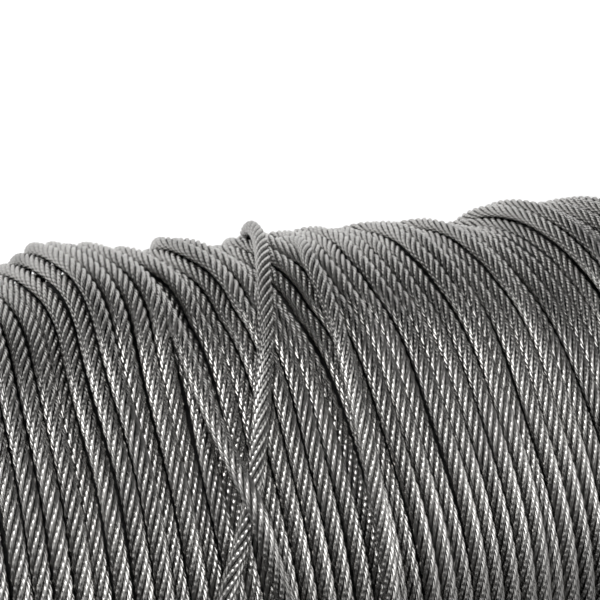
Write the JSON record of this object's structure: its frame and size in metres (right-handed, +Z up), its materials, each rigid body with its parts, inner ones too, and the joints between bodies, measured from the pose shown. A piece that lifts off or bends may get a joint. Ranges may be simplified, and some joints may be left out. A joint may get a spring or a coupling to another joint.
{
  "type": "coil of stainless steel cable",
  "caption": "Bare stainless steel cable, wound side by side in layers into a wide round coil with an open bore, as stock to cut to length.",
  "frame": {"origin": "on the ground, on the axis of the coil, which stands on its end", "axes": "+Z up, along the coil's axis and its bore; +X and +Y level, in no special direction"},
  "size_m": [0.1602, 0.1602, 0.2002],
  "materials": {
    "cable": "bright drawn wire, stranded"
  },
  "bodies": {
    "root": {"cable_coil": "cable"}
  },
  "joints": []
}
